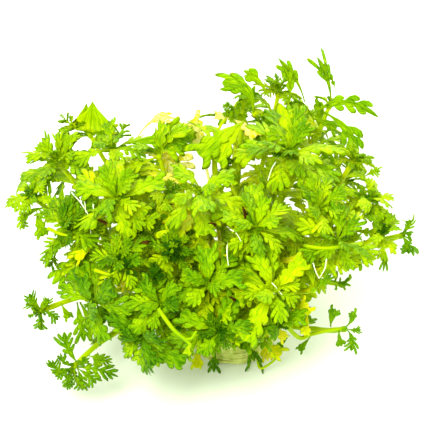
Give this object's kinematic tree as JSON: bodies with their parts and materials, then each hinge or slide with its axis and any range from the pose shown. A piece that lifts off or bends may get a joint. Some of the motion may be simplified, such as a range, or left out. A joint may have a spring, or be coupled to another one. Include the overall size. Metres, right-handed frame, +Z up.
{
  "type": "water violet plant",
  "caption": "Loose, round bush of bright green lobed leaves on thin stems, grown from a flat disc of matted roots that stands on a surface.",
  "frame": {"origin": "centre of the root mat's flat underside, which rests on the surface", "axes": "+X to the viewer's right in the picture and along the longest extent, +Y away from the viewer, +Z up"},
  "size_m": [0.1492, 0.1424, 0.0991],
  "materials": {
    "leaf_green": "satin leaf",
    "leaf_dark": "satin leaf",
    "leaf_yellow": "thin old leaf",
    "stem_green": "smooth juicy stem",
    "roots": "matted fine roots"
  },
  "bodies": {
    "root": {"crown_back_top": "leaf_green", "crown_centre": "leaf_green", "crown_centre_right": "leaf_green", "crown_far_left_back": "leaf_green", "crown_front": "leaf_green", "crown_front_dark": "leaf_dark", "crown_front_right": "leaf_green", "crown_left_edge": "leaf_dark", "crown_left_low": "leaf_green", "crown_left_upper": "leaf_green", "crown_right_front": "leaf_green", "crown_right_middle": "leaf_dark", "crown_top_back": "leaf_dark", "crown_top_front": "leaf_green", "crown_top_left": "leaf_green", "crown_upper_right": "leaf_green", "leaf_hanging_dark": "leaf_green", "leaf_hanging_yellow": "leaf_yellow", "leaf_pale_back": "leaf_yellow", "leaf_tall_middle": "leaf_green", "root_mat": "roots", "sprig_back_far_right": "leaf_green", "sprig_back_left": "leaf_green", "sprig_back_low": "leaf_green", "sprig_back_middle": "leaf_green", "sprig_back_right": "leaf_green", "sprig_front_left": "leaf_green", "sprig_front_low": "leaf_green", "sprig_front_low_right": "leaf_green", "sprig_left": "leaf_dark", "sprig_left_back": "leaf_green", "sprig_left_front": "leaf_green", "sprig_left_high": "leaf_green", "sprig_left_middle": "leaf_dark", "sprig_low_left": "leaf_dark", "sprig_low_right": "leaf_dark", "sprig_right_edge": "leaf_dark", "sprig_right_inner": "leaf_green", "sprig_right_low": "leaf_dark", "sprig_right_lower": "leaf_green", "sprig_right_small": "leaf_dark", "sprig_right_upper": "leaf_dark", "sprig_top_middle": "leaf_green", "sprig_upper_left": "leaf_green", "stem_back_top": "stem_green", "stem_centre": "stem_green", "stem_centre_right": "stem_green", "stem_far_left_back": "stem_green", "stem_front": "stem_green", "stem_front_dark": "stem_green", "stem_front_right": "stem_green", "stem_left_edge": "stem_green", "stem_left_low": "stem_green", "stem_left_upper": "stem_green", "stem_right_front": "stem_green", "stem_right_middle": "stem_green", "stem_top_back": "stem_green", "stem_top_front": "stem_green", "stem_top_left": "stem_green", "stem_upper_right": "stem_green"}
  },
  "joints": []
}
